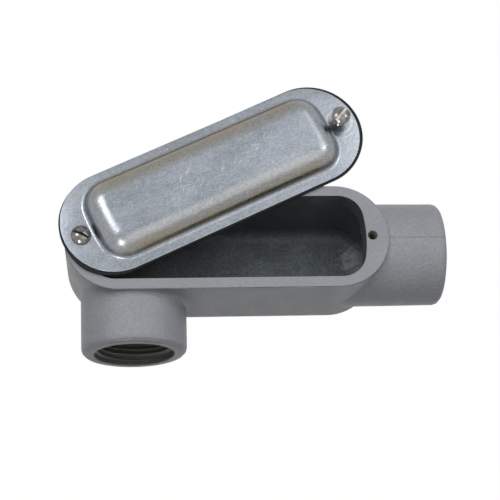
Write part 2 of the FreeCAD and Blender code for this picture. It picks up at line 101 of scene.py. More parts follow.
@dataclass
class Graph:
    """Adds and joins nodes of one tree with short calls."""

    tree: Tree

    def node(self, kind: str, inputs: dict | None = None, **settings: object) -> bpy.types.Node:
        """Adds a node.

        Args:
            kind: The node's type name.
            inputs: Sockets to fill, by name or number, each with a value or another socket.
            settings: The node's own properties.

        Returns:
            The new node.
        """
        made = self.tree.nodes.new(kind)
        for name, value in settings.items():
            setattr(made, name, value)
        for key, value in (inputs or {}).items():
            self.feed(made.inputs[key], value)
        return made

    def feed(self, target: Socket, value: object) -> None:
        """Links a socket to an input, or sets the input's own value.

        Args:
            target: The input socket.
            value: A socket, a colour of three numbers, a number or a data block.
        """
        if isinstance(value, Socket):
            self.tree.links.new(value, target)
        elif target.type == "RGBA":
            target.default_value = (*value, 1.0)
        else:
            target.default_value = value

    def maths(self, operation: str, *values: object) -> Socket:
        """Adds a Math node for one to three numbers."""
        return self.node("ShaderNodeMath", dict(enumerate(values)), operation=operation).outputs[0]

    def vector(self, operation: str, *values: object) -> bpy.types.Node:
        """Adds a Vector Math node."""
        return self.node("ShaderNodeVectorMath", dict(enumerate(values)), operation=operation)

    def times(self, *values: object) -> Socket:
        """Multiplies numbers."""
        return reduce(lambda first, second: self.maths("MULTIPLY", first, second), values)

    def most(self, *values: object) -> Socket:
        """Gives the largest of several numbers."""
        return reduce(lambda first, second: self.maths("MAXIMUM", first, second), values)

    def linear(self, value: object, factor: object, added: object) -> Socket:
        """Multiplies a number and adds another to the product."""
        return self.maths("MULTIPLY_ADD", value, factor, added)

    def step(self, value: Socket, low: float, high: float, to_low: float = 0, to_high: float = 1) -> Socket:
        """Eases from to_low to to_high, and clamps there, while a value goes from low to high."""
        settings = {"Value": value, 1: low, 2: high, 3: to_low, 4: to_high}
        return self.node("ShaderNodeMapRange", settings, interpolation_type="SMOOTHSTEP").outputs[0]

    def blend(self, share: object, first: object, second: object, mode: str = "MIX") -> Socket:
        """Mixes two colours.

        Args:
            share: How much of the second colour shows.
            first: A colour or a colour socket.
            second: A colour or a colour socket.
            mode: The blend mode.

        Returns:
            The mixed colour's socket.
        """
        mixed = self.node("ShaderNodeMix", data_type="RGBA", blend_type=mode)
        for number, value in ((0, share), (6, first), (7, second)):
            self.feed(mixed.inputs[number], value)
        return mixed.outputs[2]

    def shaded(self, colour: object, level: Socket) -> Socket:
        """Multiplies a colour by a number."""
        grey = self.node("ShaderNodeCombineColor", {0: level, 1: level, 2: level}).outputs[0]
        return self.blend(1.0, colour, grey, "MULTIPLY")

    def below(self, value: Socket, limit: float, soft: float) -> Socket:
        """Gives 1 below a limit and 0 above it, with a soft edge."""
        return self.step(value, limit + soft, limit - soft)

    def above(self, value: Socket, limit: float, soft: float) -> Socket:
        """Gives 1 above a limit and 0 below it, with a soft edge."""
        return self.step(value, limit - soft, limit + soft)

    def band(self, value: Socket, centre: float, half: float) -> Socket:
        """Gives 1 at a value and fades to 0 on both sides of it."""
        return self.step(self.maths("ABSOLUTE", self.maths("SUBTRACT", value, centre)), half, 0.3 * half)

    def distance(self, *pairs: tuple[Socket, float]) -> Socket:
        """Measures how far a place lies from an axis, given each coordinate with the axis's own value."""
        squares = [self.maths("POWER", self.maths("SUBTRACT", *pair), 2.0) for pair in pairs]
        return self.maths("SQRT", self.maths("ADD", *squares))

    def noise(self, place: Socket, scale: object, detail: float = 3, rough: float = 0.5) -> Socket:
        """Adds fractal noise at the given coordinates and gives its level from 0 to 1."""
        inputs = {"Vector": place, "Scale": scale, "Detail": detail, "Roughness": rough}
        return self.node("ShaderNodeTexNoise", inputs).outputs[0]

    def turned(self, place: Socket, angle: float) -> Socket:
        """Turns coordinates about Z by an angle in radians."""
        turning = {"Vector": place, "Angle": angle}
        return self.node("ShaderNodeVectorRotate", turning, rotation_type="Z_AXIS").outputs[0]

    def attribute(self, name: str) -> Socket:
        """Reads a number that the mesh carries."""
        return self.node("ShaderNodeAttribute", attribute_name=name).outputs["Fac"]


@dataclass
class Surface(Graph):
    """A material's tree, with its Principled shader and its object coordinates."""

    shader: bpy.types.Node
    place: Socket

    def group(self, tree: Tree, place: Socket, inputs: dict | None = None) -> dict[str, Socket]:
        """Places a shader node group.

        Args:
            tree: The group.
            place: The coordinates it is read at.
            inputs: Its other inputs, where they differ from their usual values.

        Returns:
            Its output sockets by name.
        """
        placed = self.node("ShaderNodeGroup", node_tree=tree)
        for key, value in {"Place": place, **(inputs or {})}.items():
            self.feed(placed.inputs[key], value)
        return {socket.name: socket for socket in placed.outputs}

    def axes(self) -> tuple[Socket, Socket, Socket]:
        """Gives the coordinates one by one: along the body, across it and upwards."""
        return tuple(self.node("ShaderNodeSeparateXYZ", {0: self.place}).outputs)

    def show(self, colour: Socket, rough: Socket, metal: float = 0.0) -> None:
        """Sets the shader's colour, its roughness and whether it is metal."""
        for name, value in (("Base Color", colour), ("Roughness", rough), ("Metallic", metal)):
            self.feed(self.shader.inputs[name], value)

    def bump(self, height: Socket, strength: float, distance: float) -> None:
        """Raises the surface by a height, of which a full step is as high as the distance."""
        raised = self.node("ShaderNodeBump", {"Height": height, "Strength": strength, "Distance": distance})
        self.feed(self.shader.inputs["Normal"], raised.outputs[0])


def shader_group(name: str, inputs: dict[str, float], outputs: list[str]) -> tuple[Graph, dict, dict]:
    """Starts a shader node group with number inputs and outputs and a Place vector input.

    Args:
        name: The group's name.
        inputs: Each number input's name and usual value.
        outputs: The number outputs' names.

    Returns:
        The group's graph, its input sockets by name and its output node's sockets by name.
    """
    tree = bpy.data.node_groups.new(name, "ShaderNodeTree")
    tree.interface.new_socket("Place", in_out="INPUT", socket_type="NodeSocketVector")
    for label, value in inputs.items():
        socket = tree.interface.new_socket(label, in_out="INPUT", socket_type="NodeSocketFloat")
        socket.default_value = value
    for label in outputs:
        tree.interface.new_socket(label, in_out="OUTPUT", socket_type="NodeSocketFloat")
    graph = Graph(tree)
    entry = graph.node("NodeGroupInput")
    leave = graph.node("NodeGroupOutput")
    return graph, dict(entry.outputs.items()), dict(leave.inputs.items())


def cast_grain_group() -> Tree:
    """Makes the sand-cast grain: a fine pebbled height and a slow mottle.

    Returns:
        The node group, with outputs Height, Mottle and Freckle.
    """
    scales = {"Grain scale": 1600.0, "Mottle scale": 90.0}
    graph, given, result = shader_group("cast_grain", scales, ["Height", "Mottle", "Freckle"])
    lump_scale, lump_height, fine_share, lump_share = 0.42, 1.5, 0.8, 0.2
    fine = graph.noise(given["Place"], given["Grain scale"], detail=2, rough=0.6)
    lumps = graph.noise(given["Place"], graph.times(given["Grain scale"], lump_scale), detail=2)
    graph.feed(result["Height"], graph.linear(lumps, lump_height, fine))
    graph.feed(result["Freckle"], graph.linear(fine, fine_share, graph.times(lumps, lump_share)))
    graph.feed(result["Mottle"], graph.noise(given["Place"], given["Mottle scale"], detail=5, rough=0.62))
    return graph.tree


def handling_marks_group() -> Tree:
    """Makes the marks of bright metal: hairlines three ways, small specks, a crystal spangle and a cloud.

    Returns:
        The node group, with outputs Scratches, Specks, Spangle and Cloud.
    """
    scales = {"Scratch scale": 220.0, "Speck scale": 900.0, "Spangle scale": 1500.0, "Cloud scale": 110.0}
    outputs = ["Scratches", "Specks", "Spangle", "Cloud"]
    graph, given, result = shader_group("handling_marks", scales, outputs)
    hairlines = []
    for turn, stretch in ((0.5, 14.0), (-1.1, 11.0), (1.9, 17.0)):
        turned, shift = graph.turned(given["Place"], turn), (turn, stretch, 0.0)
        stretched = graph.vector("MULTIPLY_ADD", turned, (1.0, stretch, 1.0), shift)
        level = graph.noise(stretched.outputs[0], given["Scratch scale"], detail=3, rough=0.6)
        hairlines.append(graph.step(level, 0.62, 0.72))
    graph.feed(result["Scratches"], graph.most(*hairlines))
    speck = graph.noise(given["Place"], given["Speck scale"], detail=2)
    graph.feed(result["Specks"], graph.step(speck, 0.62, 0.74))
    graph.feed(result["Spangle"], graph.noise(given["Place"], given["Spangle scale"], detail=3, rough=0.65))
    graph.feed(result["Cloud"], graph.noise(given["Place"], given["Cloud scale"], detail=6, rough=0.6))
    return graph.tree


def thread_tree() -> Tree:
    """Makes the geometry tree that grows one screw thread's ridge as a closed, tapering helix along Z.

    Returns:
        The geometry tree; its inputs are Radius, Rise, Pitch, Turns, Crest, Steps a turn and Material.
    """
    tree = bpy.data.node_groups.new("thread_ridge", "GeometryNodeTree")
    kinds = {"Steps a turn": "NodeSocketInt", "Material": "NodeSocketMaterial"}
    for label in ("Radius", "Rise", "Pitch", "Turns", "Crest", "Steps a turn", "Material"):
        tree.interface.new_socket(label, in_out="INPUT", socket_type=kinds.get(label, "NodeSocketFloat"))
    tree.interface.new_socket("Geometry", in_out="OUTPUT", socket_type="NodeSocketGeometry")
    graph = Graph(tree)
    given = dict(graph.node("NodeGroupInput").outputs.items())

    corners, half_root, run_out, weld = 5, 0.49, 0.6, 1e-6
    steps = graph.maths("ROUND", graph.times(given["Turns"], given["Steps a turn"]))
    rows = graph.maths("ADD", steps, 1.0)
    size = {"Size X": 1.0, "Size Y": 1.0, "Vertices X": rows, "Vertices Y": corners}
    sheet = graph.node("GeometryNodeMeshGrid", size)
    index = graph.node("GeometryNodeInputIndex").outputs[0]
    row = graph.maths("FLOOR", graph.maths("DIVIDE", index, float(corners)))
    column = graph.maths("SUBTRACT", index, graph.times(row, float(corners)))
    progress = graph.maths("DIVIDE", row, steps)

    right_crest = graph.times(given["Crest"], 0.5)
    left_crest = graph.times(right_crest, -1.0)
    across = graph.node("GeometryNodeIndexSwitch", data_type="FLOAT")
    raised = graph.node("GeometryNodeIndexSwitch", data_type="FLOAT")
    left, right = (-half_root, 0.0), (half_root, 0.0)
    profile = (left, (left_crest, 1.0), (right_crest, 1.0), right, left)
    for switch, part in ((across, 0), (raised, 1)):
        while len(switch.index_switch_items) < corners:
            switch.index_switch_items.new()
        graph.feed(switch.inputs["Index"], column)
        for number, corner in enumerate(profile):
            graph.feed(switch.inputs[str(number)], corner[part])

    ends = graph.maths("DIVIDE", run_out, given["Turns"])
    from_end = graph.maths("SUBTRACT", 1.0, progress)
    fade = graph.times(*(graph.step(value, 0.0, ends) for value in (progress, from_end)))
    radius = graph.maths("ADD", given["Radius"], graph.times(given["Rise"], raised.outputs[0], fade))
    turned = graph.times(progress, given["Turns"])
    angle = graph.times(turned, math.tau)
    shift = graph.times(across.outputs[0], fade, given["Pitch"])
    x, y = (graph.times(radius, graph.maths(part, angle)) for part in ("COSINE", "SINE"))
    z = graph.linear(turned, given["Pitch"], shift)
    place = graph.node("ShaderNodeCombineXYZ", {"X": x, "Y": y, "Z": z})
    shape = sheet.outputs[0]
    for kind, inputs in (
        ("SetPosition", {"Position": place.outputs[0]}),
        ("MergeByDistance", {"Distance": weld}),
        ("RealizeInstances", {}),
        ("SetMaterial", {"Material": given["Material"]}),
    ):
        shape = graph.node(f"GeometryNode{kind}", {"Geometry": shape, **inputs}).outputs[0]
    graph.node("NodeGroupOutput", {"Geometry": shape})
    return tree


# ------------------------------
# meshes


def link(name: str, data: bpy.types.ID) -> bpy.types.Object:
    """Adds an object with the given data to the scene.

    Args:
        name: The object's name.
        data: Its mesh, light or camera.

    Returns:
        The object.
    """
    made = bpy.data.objects.new(name, data)
    bpy.context.scene.collection.objects.link(made)
    return made


def link_piece(name: str, mesh: Mesh) -> bpy.types.Object:
    """Shows a mesh as a piece, smooth apart from its sharp edges.

    Args:
        name: The piece's name.
        mesh: The mesh.

    Returns:
        The piece.
    """
    mesh.name = name
    mesh.polygons.foreach_set("use_smooth", [True] * len(mesh.polygons))
    mesh.set_sharp_from_angle(angle=SHARP_ABOVE)
    return link(name, mesh)


def tie(piece: bpy.types.Object, body: Body, stands_for: str = "") -> None:
    """Ties a finished piece to the frame and reports it.

    Args:
        piece: The piece.
        body: The body it rides on.
        stands_for: The CAD node that it replaces, if any.
    """
    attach(piece, body.value)
    if stands_for:
        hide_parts(stands_for)
    LOG.info("%s: %d faces", piece.name, len(piece.data.polygons))


def mesh_from(shape: Shape, name: str, material: Material | None = None) -> Mesh:
    """Cleans a shape, turns its faces outwards and gives it as a mesh.

    Args:
        shape: The shape, which is freed.
        name: The mesh's name.
        material: The mesh's material, if it has one.

    Returns:
        The mesh.
    """
    bmesh.ops.remove_doubles(shape, verts=shape.verts, dist=WELD)
    bmesh.ops.recalc_face_normals(shape, faces=shape.faces)
    mesh = bpy.data.meshes.new(name)
    shape.to_mesh(mesh)
    shape.free()
    if material:
        mesh.materials.append(material)
    return mesh


def bridge(shape: Shape, rings: list[Ring]) -> None:
    """Joins closed rings of vertices with faces, each ring to the next.

    Args:
        shape: The shape they are in.
        rings: The rings, of equal counts.
    """
    for lower, upper in zip(rings, rings[1:]):
        for number in range(len(lower)):
            follow = (number + 1) % len(lower)
            shape.faces.new((lower[number], lower[follow], upper[follow], upper[number]))


def ring_at(shape: Shape, outline: list[Point], height: float) -> Ring:
    """Adds an outline's vertices to a shape at one height."""
    return [shape.verts.new((x, y, height)) for x, y in outline]


def settle(piece: bpy.types.Object) -> None:
    """Applies a piece's modifiers to its mesh.

    Args:
        piece: The piece whose modifiers are done.
    """
    bpy.context.view_layer.update()
    seen = piece.evaluated_get(bpy.context.evaluated_depsgraph_get())
    mesh = bpy.data.meshes.new_from_object(seen)
    piece.modifiers.clear()
    piece.data = mesh


def grow(tree: Tree, name: str, inputs: dict[str, object]) -> Mesh:
    """Grows a geometry tree's result and keeps it as a plain mesh.

    Args:
        tree: The geometry tree.
        name: The mesh's name.
        inputs: The tree's inputs by name.

    Returns:
        The mesh, with its faces turned outwards.
    """
    carrier = link(name, bpy.data.meshes.new(name))
    modifier = carrier.modifiers.new(name, "NODES")
    modifier.node_group = tree
    for item in tree.interface.items_tree:
        if item.in_out == "INPUT":
            modifier[item.identifier] = inputs[item.name]
    settle(carrier)
    grown = carrier.data
    bpy.data.objects.remove(carrier)
    shape = bmesh.new()
    shape.from_mesh(grown)
    bmesh.ops.recalc_face_normals(shape, faces=shape.faces)
    shape.to_mesh(grown)
    shape.free()
    return grown


def turn(profile: list[Point], steps: int, name: str) -> Mesh:
    """Turns a profile of (radius, height) points a full turn about Z.

    Args:
        profile: The points, from the lower end on the axis to the upper end on the axis.
        steps: How many steps a full turn has.
        name: The mesh's name.

    Returns:
        The closed mesh.
    """
    shape = bmesh.new()
    points = [shape.verts.new((radius, 0.0, height)) for radius, height in profile]
    edges = [shape.edges.new(pair) for pair in zip(points, points[1:])]
    bmesh.ops.spin(
        shape, geom=points + edges, cent=(0, 0, 0), axis=UP, angle=math.tau, steps=steps, use_merge=True
    )
    return mesh_from(shape, name)


def arc(centre: Point, radius: float, start: float, end: float, steps: int) -> list[Point]:
    """Gives the points along an arc, both ends included, between two directions in degrees."""
    turns = [math.radians(start + (end - start) * step / steps) for step in range(steps + 1)]
    return [(centre[0] + radius * math.cos(t), centre[1] + radius * math.sin(t)) for t in turns]


@dataclass(frozen=True)
class BowedPanel:
    """A rounded rectangle whose two ends bow outwards."""

    length: float
    width: float
    corner: float
    bow: float
    side_steps: int = 24
    corner_steps: int = 12
    end_steps: int = 7

    def outline(self, inset: float) -> list[Point]:
        """Gives the outline, moved inwards.

        Args:
            inset: How far it lies inside the panel's edge.

        Returns:
            The closed outline's points, anticlockwise.
        """
        half_length, half_width = self.length / 2 - inset, self.width / 2 - inset
        corner, bow = self.corner - inset, self.bow - inset
        rise = half_width - corner
        run = half_length - bow + math.sqrt((bow - corner) ** 2 - rise**2)
        slope = math.degrees(math.atan2(rise, run - half_length + bow))
        end = arc((half_length - bow, 0.0), bow, 0, slope, self.end_steps)[:-1]
        turn_in = arc((run, rise), corner, slope, 90, self.corner_steps)[:-1]
        side = [(run * (1 - 2 * step / self.side_steps), half_width) for step in range(self.side_steps // 2)]
        right = end + turn_in + side
        top = right + [(0.0, half_width)] + [(-x, y) for x, y in reversed(right[1:])]
        return top + [(-x, -y) for x, y in top]


# ------------------------------
# finishes


@dataclass(frozen=True)
class Finish:
    """What every finish has: a name and a Principled shader whose inputs a subclass fills."""

    name: str

    def material(self) -> Material:
        """Makes the material.

        Returns:
            The finished material.
        """
        made = bpy.data.materials.new(self.name)
        made.use_nodes = True
        made.node_tree.nodes.clear()
        graph = Graph(made.node_tree)
        shader = graph.node("ShaderNodeBsdfPrincipled")
        graph.node("ShaderNodeOutputMaterial", {"Surface": shader.outputs[0]})
        place = graph.node("ShaderNodeTexCoord").outputs["Object"]
        self.dress(Surface(made.node_tree, shader, place))
        return made

    def dress(self, surface: Surface) -> None:
        """Fills the shader's inputs.

        Args:
            surface: The material's tree.
        """
        raise NotImplementedError


@dataclass(frozen=True)
class CastingPaint(Finish):
    """Satin grey paint on the outside of a sand casting, and the dark coat inside it."""

    grain: Tree
    flange_height: float
    end_mount: dict
    side_mount: dict
    tapped_spot: float
    end_centre: float = 45.4 * MM
    mid_wall: float = 20.4 * MM
    floor_height: float = 3.4 * MM
    thread_reach: float = 20.4 * MM
    groove_depth: float = 0.42 * MM
    crest_height: float = 0.95 * MM
    tapped_radius: float = 2.1 * MM
    tapped_floor: float = 30.5 * MM
    rim_skin: float = 0.08 * MM
    faced_skin: float = 0.04 * MM
    faced_grain: float = 0.35
    # rubbed_drop, rubbed_half and rubbed_share place a band of painted shade just under the flange's edge.
    rubbed_drop: float = 0.22 * MM
    rubbed_half: float = 0.16 * MM
    rubbed_share: float = 0.85
    seam_half: float = 0.34 * MM
    seam_drop: float = 0.5 * MM
    soft: float = 0.03 * MM
    paint: Colour = (0.323, 0.334, 0.362)
    # edge: the dark colour of the painted shade under the flange's edge, and of the parting line.
    edge: Colour = (0.10, 0.102, 0.11)
    coat: Colour = (0.078, 0.090, 0.093)
    thick_coat: float = 1.5
    cut_metal: Colour = (0.10, 0.102, 0.088)
    # crest: the lighter colour of the painted highlight on the threads' crests.
    crest: Colour = (0.19, 0.195, 0.165)
    overspray: Colour = (0.30, 0.33, 0.36)
    mist_spot: Triple = (-32.0, 4.0, -17.0)
    mist_reach: float = 14 * MM
    mist_core: float = 2 * MM
    mist_scale: float = 420.0

    def dress(self, surface: Surface) -> None:
        """Fills the shader's inputs.

        Args:
            surface: The material's tree.
        """
        grain = surface.group(self.grain, surface.place)
        mottle, freckle = grain["Mottle"], grain["Freckle"]
        _, _, z = surface.axes()
        chamber = self.chamber(surface)
        bores, crest_highlight = self.bores(surface)

        shade = surface.times(
            surface.step(mottle, 0.3, 0.7, 0.95, 1.05), surface.step(freckle, 0.36, 0.64, 0.90, 1.10)
        )
        # The paint turns to the edge colour in the painted shade under the flange's edge and along the parting
        # line.
        paint = surface.blend(self.worn_edges(surface, mottle), surface.shaded(self.paint, shade), self.edge)
        patch = surface.step(mottle, 0.4, 0.7)
        coat = surface.blend(patch, self.coat, tuple(self.thick_coat * part for part in self.coat))
        coat = surface.shaded(coat, surface.step(freckle, 0.36, 0.64, 0.72, 1.4))
        coat = surface.blend(self.mist(surface, mottle), coat, self.overspray)
        colour = surface.blend(chamber, paint, coat)
        # In the bores the threads' crests get a painted highlight, lighter than the cut metal.
        colour = surface.blend(bores, colour, surface.blend(crest_highlight, self.cut_metal, self.crest))
        surface.show(colour, surface.linear(chamber, 0.1, surface.step(mottle, 0.3, 0.7, 0.40, 0.54)))
        skin = self.faced_skin / 2
        faced = self.flange_height - self.faced_skin
        machined = surface.step(z, faced - skin, faced + skin, 1.0, self.faced_grain)
        surface.bump(surface.times(grain["Height"], machined), 0.75, 0.25 * MM)

    def worn_edges(self, surface: Surface, mottle: Socket) -> Socket:
        """Marks a band of painted shade just under the flange's edge, and the mould's parting line below it.

        Args:
            surface: The material's tree.
            mottle: The grain's slow mottle.

        Returns:
            How strongly the paint is darkened.
        """
        _, y, z = surface.axes()
        # Painted shade: a band just under the flange's edge, where the edge throws its shadow, broken up by the
        # mottle.
        rim_shade = surface.band(z, self.flange_height - self.rubbed_drop, self.rubbed_half)
        rim_shade = surface.times(rim_shade, surface.step(mottle, 0.34, 0.54), self.rubbed_share)
        parted = surface.band(y, 0.0, self.seam_half)
        broken = surface.step(mottle, 0.3, 0.5, 0.08, 0.42)
        under = surface.below(z, self.flange_height - self.seam_drop, self.soft)
        return surface.most(rim_shade, surface.times(parted, broken, under))

    def chamber(self, surface: Surface) -> Socket:
        """Marks the walls and the floor of the wiring chamber.

        Args:
            surface: The material's tree.

        Returns:
            A socket that is 1 inside the chamber and 0 outside it.
        """
        x, y, z = surface.axes()
        past_centre = surface.maths("SUBTRACT", surface.maths("ABSOLUTE", x), self.end_centre)
        past_centre = surface.maths("MAXIMUM", past_centre, 0.0)
        within = surface.below(surface.distance((past_centre, 0.0), (y, 0.0)), self.mid_wall, self.soft)
        under = surface.below(z, self.flange_height - self.rim_skin, self.soft)
        over = surface.above(z, self.floor_height, self.soft)
        return surface.times(within, under, over)

    def bores(self, surface: Surface) -> tuple[Socket, Socket]:
        """Marks the threaded bores and tapped holes, and the tops of the hubs' threads, which get a painted
        highlight.

        Args:
            surface: The material's tree.

        Returns:
            A socket that is 1 in a bore, and one that is 1 on a thread's crest, for the painted highlight.
        """
        x, y, z = surface.axes()
        radius = self.end_mount["dims"]["r_mm"] * MM
        end_face, _, end_height = self.end_mount["pos_m"]
        station, side_face, side_height = self.side_mount["pos_m"]
        end = surface.distance((y, 0.0), (z, end_height))
        side = surface.distance((x, station), (z, side_height))
        beyond_end = surface.above(x, end_face - self.thread_reach, 0.1 * MM)
        beyond_side = surface.below(y, side_face + self.thread_reach, 0.1 * MM)
        found, crest_highlight = [], []
        for away, beyond in ((end, beyond_end), (side, beyond_side)):
            inside = surface.below(away, radius + self.groove_depth, self.soft)
            found.append(surface.times(inside, beyond))
            # Painted highlight on the ridge's tops, nearest the bore's axis.
            crest = surface.below(away, radius - self.crest_height, 0.25 * MM)
            crest_highlight.append(surface.times(crest, beyond))
        high = surface.above(z, self.tapped_floor, 0.5 * MM)
        for spot in (-self.tapped_spot, self.tapped_spot):
            away = surface.distance((x, spot), (y, 0.0))
            found.append(surface.times(surface.below(away, self.tapped_radius, self.soft), high))
        return surface.most(*found), surface.most(*crest_highlight)

    def mist(self, surface: Surface, mottle: Socket) -> Socket:
        """Marks the overspray that drifted in through the end hub, broken into specks.

        Args:
            surface: The material's tree.
            mottle: The grain's slow mottle.

        Returns:
            How thick the overspray is.
        """
        spot = Vector(self.end_mount["pos_m"]) + Vector(self.mist_spot) * MM
        away = surface.vector("DISTANCE", surface.place, spot).outputs["Value"]
        near = surface.step(away, self.mist_reach, self.mist_core)
        specks = surface.noise(surface.place, self.mist_scale, detail=4, rough=0.7)
        broken = surface.step(surface.linear(near, 0.4, specks), 0.65, 0.9)
        return surface.times(broken, surface.step(mottle, 0.25, 0.6, 0.35, 1.0))


@dataclass(frozen=True)
class ZincSheet(Finish):
    """Bright zinc-plated sheet with handling marks; its pressed walls carry a painted reflection, darker and
    warmer.
    """

    marks: Tree
    rolled: float
    handled: Vector
    bright: Colour = (0.275, 0.30, 0.335)
    # burnished: the darker, warmer colour of the painted reflection on the panel's walls.
    burnished: Colour = (0.215, 0.176, 0.118)
    scratched: Colour = (0.62, 0.64, 0.66)
    swirl_rate: float = 2600.0

    def dress(self, surface: Surface) -> None:
        """Fills the shader's inputs.

        Args:
            surface: The material's tree.
        """
        along = surface.vector("MULTIPLY", surface.turned(surface.place, -self.rolled), (0.5, 1.0, 1.0))
        marks = surface.group(self.marks, along.outputs[0])
        scratches, drawn = marks["Scratches"], surface.attribute("drawn")
        cloud = surface.step(marks["Cloud"], 0.3, 0.7)
        # Painted reflection: the walls turn darker and warmer by the mesh's drawn share, streaked by the cloud.
        reflected_share = surface.times(drawn, surface.linear(cloud, 0.35, 0.72))
        colour = surface.blend(reflected_share, self.bright, self.burnished)
        spangle = surface.step(marks["Spangle"], 0.36, 0.64, 0.88, 1.14)
        colour = surface.shaded(colour, surface.times(spangle, surface.linear(cloud, 0.16, 0.92)))
        hairlines = surface.times(scratches, surface.step(surface.attribute("worn"), 0.2, 0.8, 0.2, 0.8))
        colour = surface.blend(surface.most(hairlines, self.swirls(surface, marks)), colour, self.scratched)
        rough = surface.linear(drawn, -0.04, surface.linear(cloud, 0.08, 0.25))
        surface.show(colour, surface.linear(marks["Specks"], 0.1, rough), metal=1.0)
        height = surface.linear(marks["Cloud"], 1.5, marks["Spangle"])
        surface.bump(surface.maths("ADD", height, surface.times(scratches, 0.5)), 0.25, 0.08 * MM)

    def swirls(self, surface: Surface, marks: dict[str, Socket]) -> Socket:
        """Marks the rings that driving the screw has worn into the sheet round its hole.

        Args:
            surface: The material's tree.
            marks: The handling marks.

        Returns:
            How strongly the sheet is rubbed.
        """
        away = surface.vector("DISTANCE", surface.place, self.handled).outputs["Value"]
        near = surface.times(surface.step(away, 9 * MM, 6 * MM), surface.step(away, 4 * MM, 4.5 * MM))
        rings = surface.maths("SINE", surface.times(away, self.swirl_rate))
        rings = surface.linear(marks["Cloud"], 2.5, rings)
        return surface.times(near, surface.step(rings, 0.9, 2.1, 0.0, 0.3))


@dataclass(frozen=True)
class PlatedSteel(Finish):
    """Bright plated steel of the screws, slightly warm, with a painted tone in the driver slot: painted shade on
    one screw, a painted highlight on the other.
    """

    marks: Tree
    groove: Colour
    bright: Colour = (0.235, 0.224, 0.217)
    dulled: float = 0.5

    def dress(self, surface: Surface) -> None:
        """Fills the shader's inputs.

        Args:
            surface: The material's tree.
        """
        marks = surface.group(self.marks, surface.place, {"Scratch scale": 450.0, "Cloud scale": 500.0})
        cloud, slot = surface.step(marks["Cloud"], 0.35, 0.65), surface.attribute("slot")
        colour = surface.blend(cloud, self.bright, tuple(self.dulled * part for part in self.bright))
        rough = surface.linear(slot, 0.35, surface.linear(cloud, 0.1, 0.13))
        # The slot takes the painted slot tone: painted shade where it is dark, a painted highlight where it is
        # bright.
        surface.show(surface.blend(slot, colour, self.groove), rough, metal=1.0)
        surface.bump(marks["Scratches"], 0.2, 0.03 * MM)


@dataclass(frozen=True)
class SheetRubber(Finish):
    """Black sheet rubber, dull and faintly grained."""

    grain: Tree
    black: Colour = (0.012, 0.012, 0.014)
    bloom: Colour = (0.035, 0.035, 0.037)
    gloss: float = 0.25

    def dress(self, surface: Surface) -> None:
        """Fills the shader's inputs.

        Args:
            surface: The material's tree.
        """
        grain = surface.group(self.grain, surface.place, {"Grain scale": 2600.0, "Mottle scale": 200.0})
        colour = surface.blend(surface.step(grain["Mottle"], 0.45, 0.75, 0.0, 0.5), self.black, self.bloom)
        surface.show(colour, surface.step(grain["Mottle"], 0.3, 0.7, 0.65, 0.8))
        surface.shader.inputs["Specular IOR Level"].default_value = self.gloss
        surface.bump(grain["Height"], 0.15, 0.05 * MM)


# ------------------------------
# sub-assemblies


@dataclass
class Thread:
    """One screw thread's ridge."""

    tree: Tree
    radius: float
    rise: float
    pitch: float
    turns: float
    flank: Flank
    crest: float = 0.14
    steps: int = 72

    def grow(self, name: str, material: Material, place: Matrix) -> Mesh:
        """Grows the ridge and puts it in its place.

        Args:
            name: The mesh's name.
            material: Its material.
            place: Where the thread's start and axis lie.

        Returns:
            The placed mesh.
        """
        sizes = {"Radius": self.radius, "Rise": self.rise * self.flank.value, "Pitch": self.pitch}
        sizes |= {"Turns": self.turns, "Crest": self.crest, "Steps a turn": self.steps, "Material": material}
        mesh = grow(self.tree, name, sizes)
        mesh.transform(place)
        return mesh


